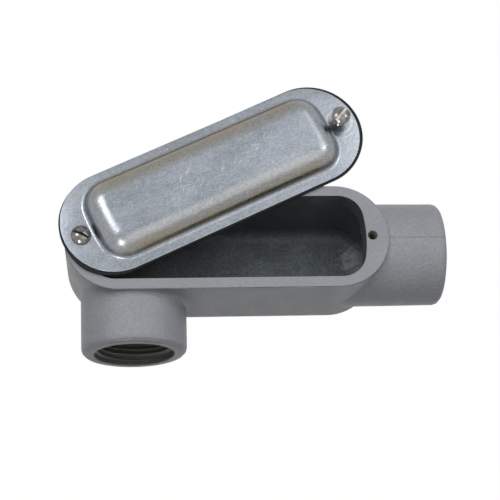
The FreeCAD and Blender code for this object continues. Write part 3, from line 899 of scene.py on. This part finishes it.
@dataclass
class Casting:
    """The one-piece casting: its paint, its threads and the parting line that its mould left."""

    record: dict
    thread: Tree
    paint: Material
    pipe_pitch: float = 2.209 * MM
    pipe_rise: float = 1.5 * MM
    pipe_start: float = 0.6
    sink: float = 0.05 * MM
    tapped_radius: float = 2.06 * MM
    tapped_rise: float = 0.40 * MM
    tapped_depth: float = 9.6 * MM
    tapped_steps: int = 32
    mouth_gap: float = 0.1 * MM
    chamber: BowedPanel = BowedPanel(126.8 * MM, 36.0 * MM, 14.0 * MM, 70.0 * MM)
    chamber_floor: float = 3.5 * MM
    chamber_round: float = 5.4 * MM
    round_steps: int = 10
    flash_width: float = 0.42 * MM
    flash_height: float = 0.11 * MM
    flash_root: float = -0.1 * MM
    flash_crest: float = 0.3
    flash_least: float = 0.75
    flash_lump: float = 0.5
    flash_steps: int = 60
    flash_taper: float = 0.3
    flash_waves: float = 420.0
    end_flash_length: float = 26.5 * MM
    faced_depth: float = 1 * MM
    left_flash_drop: float = 2 * MM
    left_flash_share: float = 0.75
    stand_off: float = 10 * MM
    look_depth: float = 30 * MM

    def build(self, tapped_spot: float, screw_phase: float) -> None:
        """Dresses the casting and adds its threads and its parting lines.

        Args:
            tapped_spot: Where along X the open tapped hole lies.
            screw_phase: The height at which the seated screw's ridge passes over +X.
        """
        node = frame["nodes"]["body_casting"]
        node.data.materials[0] = self.paint
        LOG.info("body_casting: painted")
        for mount in self.record["mounts"]:
            if mount["kind"] == "threaded_hole":
                self.cut_pipe_thread(mount)
        self.tap_hole(tapped_spot, screw_phase)
        self.round_floor()
        low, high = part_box("body_casting")
        down, inward, back = Vector((0, 0, -1)), Vector((1, 0, 0)), Vector((-1, 0, 0))
        end, left = Vector((high.x, 0, high.z)), Vector((low.x, 0, high.z - self.left_flash_drop))
        self.flash("end_hub_flash", end, down, back * self.end_flash_length, self.faced_depth)
        self.flash("left_end_flash", left, inward, down * (low.z + high.z) * self.left_flash_share, 0.0)

    def add(self, name: str, mesh: Mesh) -> None:
        """Adds a mesh to the casting as a piece of its own."""
        tie(link_piece(name, mesh), Body.CASTING)

    def cut_pipe_thread(self, mount: dict) -> None:
        """Adds the pipe thread's ridge to one hub.

        Args:
            mount: The hub's mount in the record.
        """
        name, radius = f"{mount['name']}_thread", mount["dims"]["r_mm"] * MM + self.sink
        turns = mount["dims"]["length_mm"] * MM / self.pipe_pitch - self.pipe_start
        thread = Thread(self.thread, radius, self.pipe_rise, self.pipe_pitch, turns, Flank.INWARD)
        inward = -Vector(mount["axis"])
        start = Vector(mount["pos_m"]) + inward * (self.pipe_start * self.pipe_pitch)
        place = Matrix.Translation(start) @ UP.rotation_difference(inward).to_matrix().to_4x4()
        self.add(name, thread.grow(name, self.paint, place))

    def tap_hole(self, spot: float, screw_phase: float) -> None:
        """Cuts the open tapped hole's thread, half a pitch away from the seated screw's ridge.

        Args:
            spot: Where along X the hole lies.
            screw_phase: The height at which the seated screw's ridge passes over +X.
        """
        sizes = (self.tapped_radius, self.tapped_rise, SCREW_PITCH, self.tapped_depth / SCREW_PITCH)
        thread = Thread(self.thread, *sizes, Flank.INWARD, steps=self.tapped_steps)
        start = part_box("body_casting")[1].z - self.tapped_depth - self.mouth_gap
        turned = math.tau * ((start - screw_phase) / SCREW_PITCH + 0.5)
        place = Matrix.Translation((spot, 0, start)) @ Matrix.Rotation(turned, 4, "Z")
        self.add("tapped_thread", thread.grow("tapped_thread", self.paint, place))

    def round_floor(self) -> None:
        """Rounds the chamber's inner corner between its walls and its floor, as the core leaves it."""
        reach, floor = self.chamber_round, self.chamber_floor
        section = arc((reach, floor + reach), reach, 180, 270, self.round_steps)
        section += [(reach, floor - self.sink), (-self.sink, floor - self.sink), (-self.sink, floor + reach)]
        shape = bmesh.new()
        bridge(shape, [ring_at(shape, self.chamber.outline(inset), z) for inset, z in section + section[:1]])
        self.add("chamber_rounding", mesh_from(shape, "chamber_rounding", self.paint))

    def flash(self, name: str, start: Vector, look: Vector, run: Vector, clear: float) -> None:
        """Lays the thin fin that the mould's parting plane leaves, over the casting's own surface.

        Args:
            name: The piece's name.
            start: A place outside the casting, on the parting plane.
            look: The direction from there to the surface.
            run: The direction in which the line runs, as long as it runs.
            clear: Surfaces nearer to the start than this are machined and carry none.
        """
        casting = frame["nodes"]["body_casting"]
        half, root = self.flash_width / 2, self.flash_root
        crest, side_axis = self.flash_crest * half, Vector((0, 1, 0))
        section = ((-half, root), (-half, 0.0), (-crest, 1.0), (crest, 1.0), (half, 0.0), (half, root))
        shape = bmesh.new()
        rings = []
        for step in range(1, self.flash_steps):
            share = step / self.flash_steps
            origin = start + run * share - look * self.stand_off
            hit, place, _, _ = casting.ray_cast(origin, look, distance=self.look_depth)
            if not hit or (place - start).dot(look) < clear:
                continue
            lump = self.flash_least + self.flash_lump * noise.noise(origin * self.flash_waves)
            height = self.flash_height * math.sin(math.pi * share) ** self.flash_taper * lump
            lifts = [(side, height if rise == 1.0 else rise) for side, rise in section]
            rings.append([shape.verts.new(place + side_axis * side - look * lift) for side, lift in lifts])
        bridge(shape, rings)
        shape.faces.new(rings[0])
        shape.faces.new(rings[-1])
        self.add(name, mesh_from(shape, name, self.paint))


@dataclass
class Gasket:
    """The rubber gasket, which has crept a little way in under the cover's rim at the pivot end."""

    material: Material
    place: Matrix
    creep: float = 0.8 * MM
    creep_middle: float = 110.0
    creep_end: float = 105.0
    creep_full: float = 80.0
    edge_depth: float = 0.5 * MM

    def build(self) -> None:
        """Builds the gasket over its CAD node."""
        shape = bmesh.new()
        shape.from_mesh(frame["nodes"]["cover_gasket"].data)
        least = 1e-6
        bmesh.ops.remove_doubles(shape, verts=shape.verts, dist=least)
        back, turned = self.place.inverted(), self.place.to_3x3()
        own = [back @ vertex.co for vertex in shape.verts]
        half_width = max(place.y for place in own)
        centre = half_width - max(place.x for place in own)
        for vertex, place in zip(shape.verts, own):
            arm = Vector((place.x - centre, place.y, 0))
            if arm.x < least and arm.length > half_width - self.edge_depth:
                vertex.co -= turned @ (arm.normalized() * self.creep * self.share(arm))
        piece = link_piece("gasket_rubber", mesh_from(shape, "gasket_rubber", self.material))
        tie(piece, Body.COVER, "cover_gasket")

    def share(self, arm: Vector) -> float:
        """Gives how much of the full creep the edge has, from 0 to 1.

        Args:
            arm: The direction from the round end's centre to the edge.

        Returns:
            The share.
        """
        turn = math.cos(math.atan2(arm.y, arm.x) - math.radians(self.creep_middle))
        least, full = math.cos(math.radians(self.creep_end)), math.cos(math.radians(self.creep_full))
        return min(max((turn - least) / (full - least), 0.0), 1.0)


@dataclass
class Cover:
    """The pressed sheet cover: a flat rim round a raised, hollow panel with bowed ends."""

    material: Material
    place: Matrix
    length: float = 136.1 * MM
    width: float = 44.5 * MM
    sheet: float = 0.8 * MM
    screw_spacing: float = 121.6 * MM
    hole_radius: float = 2.3 * MM
    panel: BowedPanel = BowedPanel(110.8 * MM, 35.8 * MM, 11.0 * MM, 95.0 * MM)
    rise: float = 8.0 * MM
    lean: float = 24.0
    crown_round: float = 9.5 * MM
    foot_round: float = 2.0 * MM
    top_crown: float = 0.12 * MM
    edge_round: float = 0.3 * MM
    under_round: float = 0.08 * MM
    foot_steps: int = 8
    wall_steps: int = 5
    crown_steps: int = 14
    top_steps: int = 12
    edge_steps: int = 4
    rim_end_steps: int = 64
    rim_side_steps: int = 40
    hole_steps: int = 48
    # From foot_drawn to far_rate: how the painted reflection runs across the panel's section, towards its ends and
    # on its far (+Y) side.
    foot_drawn: float = 0.35
    wall_drawn: tuple[float, float] = (0.6, 0.1)
    crown_fade: float = 0.8
    end_start: float = 0.76
    end_loss: float = 0.95
    far_hold: float = 0.6
    far_rate: float = 3.0

    def build(self) -> None:
        """Builds the cover over its CAD node."""
        shape = bmesh.new()
        for name in ("drawn", "worn"):
            shape.verts.layers.float.new(name)
        top, under = (self.panel_rings(shape, depth) for depth in (0.0, self.sheet))
        self.flat(shape, top, self.sheet, self.edge_round)
        self.flat(shape, under, 0.0, self.under_round)
        mesh = mesh_from(shape, "cover_panel", self.material)
        mesh.transform(self.place)
        tie(link_piece("cover_panel", mesh), Body.COVER, "cover")

    @classmethod
    def placed(cls, pivot: Vector, swing: float) -> Matrix:
        """Gives the cover's place, from its own middle to the pivot, swung open by an angle in degrees."""
        centre = Matrix.Translation((cls.screw_spacing / 2, 0, 0))
        return Matrix.Translation(pivot) @ Matrix.Rotation(math.radians(swing), 4, "Z") @ centre

    def rim_outline(self, inset: float) -> list[Point]:
        """Gives the rim's outline, straight sides with half-round ends, moved inwards.

        Args:
            inset: How far it lies inside the cover's edge.

        Returns:
            The closed outline's points, anticlockwise.
        """
        radius, steps = self.width / 2 - inset, self.rim_side_steps
        centre = (self.length - self.width) / 2
        half = arc((centre, 0.0), radius, -90, 90, self.rim_end_steps)
        half += [(centre - 2 * centre * step / steps, radius) for step in range(1, steps)]
        return half + [(-x, -y) for x, y in half]

    def profile(self, depth: float) -> list[Triple]:
        """Gives the panel's section from the rim to its flat top.

        Args:
            depth: How far the section lies under the sheet's upper side.

        Returns:
            Points of inset, height and how much painted reflection the sheet carries there.
        """
        bend = math.tan(math.radians(90 - self.lean) / 2)
        run = self.rise * math.tan(math.radians(self.lean)) + self.crown_round * bend
        foot = (-self.foot_round * bend, self.sheet + self.foot_round)
        crown = (run, self.sheet + self.rise - self.crown_round)
        lower = arc(foot, self.foot_round + depth, -90, -self.lean, self.foot_steps)
        upper = arc(crown, self.crown_round - depth, 180 - self.lean, 90, self.crown_steps)
        ends = list(zip(lower[-1], upper[0]))
        wall = [
            tuple(low + (high - low) * step / self.wall_steps for low, high in ends)
            for step in range(1, self.wall_steps)
        ]
        drawn = [self.foot_drawn * step / self.foot_steps for step in range(len(lower))]
        drawn += [self.wall_drawn[0] + self.wall_drawn[1] * step for step in range(len(wall))]
        drawn += [1 - (step / self.crown_steps) ** self.crown_fade for step in range(len(upper))]
        return [(*point, share) for point, share in zip(lower + wall + upper, drawn)]

    def side_share(self, x: float) -> float:
        """Gives how much of the painted reflection a place along the panel keeps: all but at its bowed ends."""
        past = (abs(x) / (self.panel.length / 2) - self.end_start) / (1 - self.end_start)
        return 1 - self.end_loss * min(max(past, 0.0), 1.0)

    def panel_rings(self, shape: Shape, depth: float) -> Ring:
        """Raises one side of the panel from its rim to its closed flat top.

        Args:
            shape: The shape it is added to, with its layers for the painted reflection and the scuffed parts.
            depth: 0 for the upper side, or the sheet's thickness for the lower one.

        Returns:
            The foot's ring of vertices.
        """
        drawn, worn = shape.verts.layers.float["drawn"], shape.verts.layers.float["worn"]
        rings = []
        for inset, height, share in self.profile(depth):
            rings.append(ring_at(shape, self.panel.outline(inset), height))
            for vertex in rings[-1]:
                # The painted reflection holds on more on the far (+Y) side and fades at the bowed ends.
                far = min(max(self.far_rate * vertex.co.y / self.panel.width, 0.0), 1.0)
                vertex[drawn] = share ** (1 - self.far_hold * far) * self.side_share(vertex.co.x)
        edge = [vertex.co.copy() for vertex in rings[-1]]
        for step in range(1, self.top_steps):
            share = 1 - step / self.top_steps
            lift = self.top_crown * (1 - share**2) ** 2
            rings.append([shape.verts.new((p.x * share, p.y * share, p.z + lift)) for p in edge])
            for vertex in rings[-1]:
                vertex[worn] = 1 - share
        bridge(shape, rings)
        shape.faces.new(rings[-1])
        return rings[0]

    def flat(self, shape: Shape, foot: list, height: float, edge: float) -> None:
        """Fills the flat rim from the panel's foot to the cover's edge, round its two screw holes.

        Args:
            shape: The shape it is added to.
            foot: The ring of vertices at the panel's foot.
            height: The rim's height, on its upper or lower side.
            edge: The rounding at the cover's edge.
        """
        middle = self.sheet / 2
        toward = 1 if height > middle else -1
        centre = height - toward * edge
        rounding = arc((0.0, 0.0), edge, 90, 0, self.edge_steps)
        levels = [(edge - out, centre + toward * up) for out, up in rounding] + [(0.0, middle)]
        rings = [ring_at(shape, self.rim_outline(inset), level) for inset, level in levels]
        bridge(shape, rings)
        loops = [foot, rings[0]]
        for side in (1, -1):
            circle = arc((side * self.screw_spacing / 2, 0.0), self.hole_radius, 0, 360, self.hole_steps)
            rings = [ring_at(shape, circle[:-1], level) for level in (height, middle)]
            bridge(shape, rings)
            loops.append(rings[0])
        pairs = [pair for loop in loops for pair in zip(loop, loop[1:] + loop[:1])]
        edges = [shape.edges.get(pair) or shape.edges.new(pair) for pair in pairs]
        bmesh.ops.triangle_fill(shape, edges=edges, use_dissolve=False, use_beauty=True)


@dataclass
class CoverScrew:
    """A slotted round-head machine screw."""

    tree: Tree
    material: Material
    slot_angle: float
    # skirt_share: how much painted shadow the head's lower side takes.
    skirt_share: float
    head_radius: float = 4.05 * MM
    head_height: float = 2.39 * MM
    head_edge: float = 0.7 * MM
    head_steps: int = 96
    crown_steps: int = 14
    under_break: float = 0.1 * MM
    slot_width: float = 1.1 * MM
    slot_depth: float = 1.3 * MM
    slot_break: float = 0.07 * MM
    soften_above: float = math.radians(40)
    shank_radius: float = 1.96 * MM
    point_width: float = 0.3 * MM
    point_height: float = 0.4 * MM
    length: float = 8.0 * MM
    thread_rise: float = 0.42 * MM
    thread_sink: float = 0.02 * MM
    thread_tip: float = 0.5 * MM
    thread_top: float = 0.4 * MM
    thread_steps: int = 36
    skirt_height: float = 0.55 * MM
    skirt_depth: float = 0.2 * MM
    floor_gap: float = 0.05 * MM
    side_gap: float = 0.02 * MM

    def build(self, node: str, body: Body) -> None:
        """Builds the screw over its CAD node.

        Args:
            node: The CAD node's name.
            body: The body it rides on.
        """
        name = f"{node}_steel"
        piece, slot = link_piece(name, self.head(name)), link("slot_cutter", self.cutter())
        cut = piece.modifiers.new("slot", "BOOLEAN")
        cut.object, cut.solver = slot, "EXACT"
        soften = piece.modifiers.new("soften", "BEVEL")
        soften.width, soften.segments, soften.angle_limit = self.slot_break, 2, self.soften_above
        settle(piece)
        bpy.data.objects.remove(slot)
        mesh, shape = piece.data, bmesh.new()
        shape.from_mesh(mesh)
        shape.from_mesh(self.ridge(f"{name}_ridge"))
        shape.to_mesh(mesh)
        shape.free()
        self.mark_slot(mesh)
        mesh.materials.clear()
        mesh.materials.append(self.material)
        turned = Matrix.Rotation(math.radians(self.slot_angle), 4, "Z")
        mesh.transform(Matrix.Translation(self.seat(node)) @ turned)
        mesh.set_sharp_from_angle(angle=SHARP_ABOVE)
        tie(piece, body, node)

    def ridge(self, name: str) -> Mesh:
        """Grows the thread's ridge.

        Args:
            name: The mesh's name.

        Returns:
            The ridge, under a head that stands at the origin.
        """
        radius = self.shank_radius - self.thread_rise - self.thread_sink
        turns = (self.length - self.thread_tip - self.thread_top) / SCREW_PITCH
        sizes = (radius, self.thread_rise, SCREW_PITCH, turns)
        thread = Thread(self.tree, *sizes, Flank.OUTWARD, steps=self.thread_steps)
        return thread.grow(name, self.material, Matrix.Translation((0, 0, self.thread_start)))

    @property
    def thread_start(self) -> float:
        """Where the thread starts, from the underside of the head."""
        return self.thread_tip - self.length

    def seat(self, node: str) -> Vector:
        """Gives the middle of the head's underside."""
        low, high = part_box(node)
        return Vector(((low.x + high.x) / 2, (low.y + high.y) / 2, low.z + self.length))

    def mark_slot(self, mesh: Mesh) -> None:
        """Marks the faces inside the driver slot, which take the painted slot tone, and in part those round the
        head's foot, which take it as painted shadow.

        Args:
            mesh: The screw's mesh, before it is placed.
        """
        floor = self.head_height - self.slot_depth - self.floor_gap
        half = self.slot_width / 2 + self.side_gap
        slot = mesh.attributes.new("slot", "FLOAT", "FACE")
        for face, entry in zip(mesh.polygons, slot.data):
            middle = face.center
            entry.value = float(abs(middle.y) < half and middle.z > floor)
            # Painted shadow on the head's lower side, as strong as the skirt shade.
            if 0 < middle.z < self.skirt_height and middle.xy.length > self.head_radius - self.skirt_depth:
                entry.value = self.skirt_share

    def phase(self, node: str, lowered: float, swing: float) -> float:
        """Gives the height at which the ridge passes over +X, once lowered and swung by so many degrees."""
        start = self.seat(node).z + self.thread_start - lowered
        return start - SCREW_PITCH * (self.slot_angle + swing) / 360

    def head(self, name: str) -> Mesh:
        """Turns the screw's head and plain core.

        Args:
            name: The mesh's name.

        Returns:
            The closed mesh.
        """
        core, tip = self.shank_radius - self.thread_rise, -self.length
        rise = self.head_height - self.head_edge
        ball = (self.head_radius**2 + rise**2) / (2 * rise)
        reach = math.degrees(math.asin(self.head_radius / ball))
        crown = arc((0.0, self.head_height - ball), ball, 90 - reach, 90, self.crown_steps)
        profile = [(0.0, tip), (core - self.point_width, tip), (core, tip + self.point_height), (core, 0.0)]
        profile += [(self.head_radius - self.under_break, 0.0), (self.head_radius, self.under_break)]
        return turn(profile + crown[:-1] + [(0.0, self.head_height)], self.head_steps, name)

    def cutter(self) -> Mesh:
        """Makes the block that cuts the driver slot."""
        shape = bmesh.new()
        size = (3 * self.head_radius, self.slot_width, 2 * self.slot_depth)
        place = Matrix.Translation((0, 0, self.head_height)) @ Matrix.Diagonal((*size, 1))
        bmesh.ops.create_cube(shape, size=1, matrix=place)
        return mesh_from(shape, "slot_cutter")


# ------------------------------
# studio


@dataclass(frozen=True)
class Softbox:
    """A square soft light that faces the object, with its side in metres and its power in watts."""

    name: str
    place: Triple
    size: float
    power: float
    diffuse: bool = True
    glossy: bool = True

    def hang(self, target: Vector) -> None:
        """Hangs the light.

        Args:
            target: The middle of the object, which its place is measured from.
        """
        light = bpy.data.lights.new(self.name, "AREA")
        light.shape, light.size, light.energy = "SQUARE", self.size, self.power
        lamp = link(self.name, light)
        lamp.location = target + Vector(self.place)
        lamp.rotation_euler = (-Vector(self.place)).to_track_quat("-Z", "Y").to_euler()
        lamp.visible_diffuse, lamp.visible_glossy = self.diffuse, self.glossy


@dataclass
class Studio:
    """The plain pale floor, the soft lights and the camera."""

    target: Vector = Vector((11.008, 2.146, 25.0)) * MM
    distance: float = 570.2 * MM
    azimuth: float = -15.51
    elevation: float = 69.14
    roll: float = 13.97
    lens: float = 94.84
    sensor: float = 36.0
    near: float = 0.01
    far: float = 50.0
    floor_size: float = 6.0
    floor_drop: float = 0.1 * MM
    floor_shade: float = 0.38
    floor_glow: float = 0.99
    fill: float = 0.06
    softboxes: tuple[Softbox, ...] = (
        Softbox("overhead_softbox", (-0.08, 0.09, 1.0), 1.0, 7.6, glossy=False),
        Softbox("left_softbox", (-0.54, 0.26, 0.80), 0.37, 2.4, diffuse=False),
        Softbox("right_softbox", (0.52, 0.46, 0.90), 0.5, 1.15),
        Softbox("front_softbox", (0.40, -0.32, 0.9), 0.7, 1.1, diffuse=False),
        Softbox("near_left_glint", (-0.29, -0.70, 0.65), 0.26, 2.2, diffuse=False),
        Softbox("near_right_glint", (0.67, 0.13, 0.74), 0.2, 1.0, diffuse=False),
    )

    def build(self) -> None:
        """Builds the whole studio."""
        self.floor()
        self.world()
        for softbox in self.softboxes:
            softbox.hang(self.target)
        self.camera()
        bpy.context.scene.view_settings.view_transform = "Standard"

    def floor(self) -> None:
        """Lays the white floor, which keeps the object's shadow."""
        shape = bmesh.new()
        bmesh.ops.create_grid(shape, x_segments=1, y_segments=1, size=self.floor_size / 2)
        mesh = bpy.data.meshes.new("floor")
        shape.to_mesh(mesh)
        shape.free()
        mesh.transform(Matrix.Translation((0, 0, -self.floor_drop)))
        made = bpy.data.materials.new("floor_white")
        made.use_nodes = True
        made.node_tree.nodes.clear()
        graph = Graph(made.node_tree)
        shown = graph.blend(self.seen(graph), (self.floor_shade,) * 3, WHITE)
        matt = graph.node("ShaderNodeBsdfDiffuse", {"Color": shown}).outputs[0]
        glow = graph.node("ShaderNodeEmission", {"Color": WHITE, "Strength": 1.0}).outputs[0]
        share = graph.times(self.seen(graph), self.floor_glow)
        mixed = graph.node("ShaderNodeMixShader", {0: share, 1: matt, 2: glow})
        graph.node("ShaderNodeOutputMaterial", {"Surface": mixed.outputs[0]})
        mesh.materials.append(made)
        link("floor", mesh)

    @staticmethod
    def seen(graph: Graph) -> Socket:
        """Gives 1 for rays that show the background: from the camera, off gloss and through glass."""
        path = graph.node("ShaderNodeLightPath")
        both = graph.maths("ADD", path.outputs["Is Camera Ray"], path.outputs["Is Glossy Ray"])
        every = graph.maths("ADD", both, path.outputs["Is Transmission Ray"])
        return graph.maths("MINIMUM", every, 1.0)

    def world(self) -> None:
        """Makes the surrounding white, dimmer as a light than it looks."""
        world = bpy.data.worlds.new("studio")
        world.use_nodes = True
        world.node_tree.nodes.clear()
        graph = Graph(world.node_tree)
        strength = graph.linear(self.seen(graph), 1 - self.fill, self.fill)
        glow = graph.node("ShaderNodeBackground", {"Color": WHITE, "Strength": strength})
        graph.node("ShaderNodeOutputWorld", {"Surface": glow.outputs[0]})
        bpy.context.scene.world = world

    def camera(self) -> None:
        """Sets the camera at the product view's angle."""
        azimuth, elevation = math.radians(self.azimuth), math.radians(self.elevation)
        level = math.cos(elevation)
        back = Vector((math.sin(azimuth) * level, -math.cos(azimuth) * level, math.sin(elevation)))
        forward = -back
        right = forward.cross(UP).normalized()
        upward = right.cross(forward)
        roll = Matrix.Rotation(math.radians(-self.roll), 3, forward)
        right, upward = roll @ right, roll @ upward
        data = bpy.data.cameras.new("product_view")
        data.lens, data.sensor_width = self.lens, self.sensor
        data.clip_start, data.clip_end = self.near, self.far
        camera = link("product_view", data)
        turned = Matrix((right, upward, back)).transposed().to_4x4()
        camera.matrix_world = Matrix.Translation(self.target + back * self.distance) @ turned
        bpy.context.scene.camera = camera


def main() -> None:
    """Builds and dresses every piece, then the studio."""
    logging.basicConfig(level=logging.INFO, format="%(name)s: %(message)s")
    record = frame["record"]
    mounts = {mount["name"]: mount for mount in record["mounts"]}
    joints = {joint["name"]: joint for joint in frame["joints"]}
    swing_joint, travel_joint = joints["cover_swing"], joints["captive_screw_travel"]
    pivot = Vector(swing_joint["pos_m"])
    grain, marks, thread = cast_grain_group(), handling_marks_group(), thread_tree()
    paint = CastingPaint(
        "casting_paint",
        grain=grain,
        flange_height=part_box("body_casting")[1].z,
        end_mount=mounts["end_hub"],
        side_mount=mounts["side_hub"],
        tapped_spot=-pivot.x,
    ).material()
    closing, lowering = swing_joint["range_deg"][0], -travel_joint["range_m"][0]
    cover_place = Cover.placed(pivot, -closing)
    handled = cover_place @ Vector((-pivot.x, 0, Cover.sheet))
    zinc = ZincSheet("zinc_sheet", marks=marks, rolled=math.radians(-closing), handled=handled).material()
    # The pivot screw's dark slot is painted shade; the captive screw's bright slot is a painted highlight.
    soiled_steel = PlatedSteel("soiled_steel", marks=marks, groove=(0.035, 0.033, 0.03)).material()
    handled_steel = PlatedSteel("handled_steel", marks=marks, groove=(0.52, 0.51, 0.50)).material()
    rubber = SheetRubber("sheet_rubber", grain=grain).material()

    pivot_screw = CoverScrew(thread, soiled_steel, slot_angle=-26.0, skirt_share=0.8)
    captive_screw = CoverScrew(thread, handled_steel, slot_angle=51.0, skirt_share=0.0)
    seated = captive_screw.phase("captive_screw", lowering, closing)
    Casting(record, thread, paint).build(-pivot.x, seated)
    Gasket(rubber, cover_place).build()
    Cover(zinc, cover_place).build()
    pivot_screw.build("pivot_screw", Body.CASTING)
    captive_screw.build("captive_screw", Body.LOOSE_SCREW)
    Studio().build()


if __name__ == "__main__":
    main()
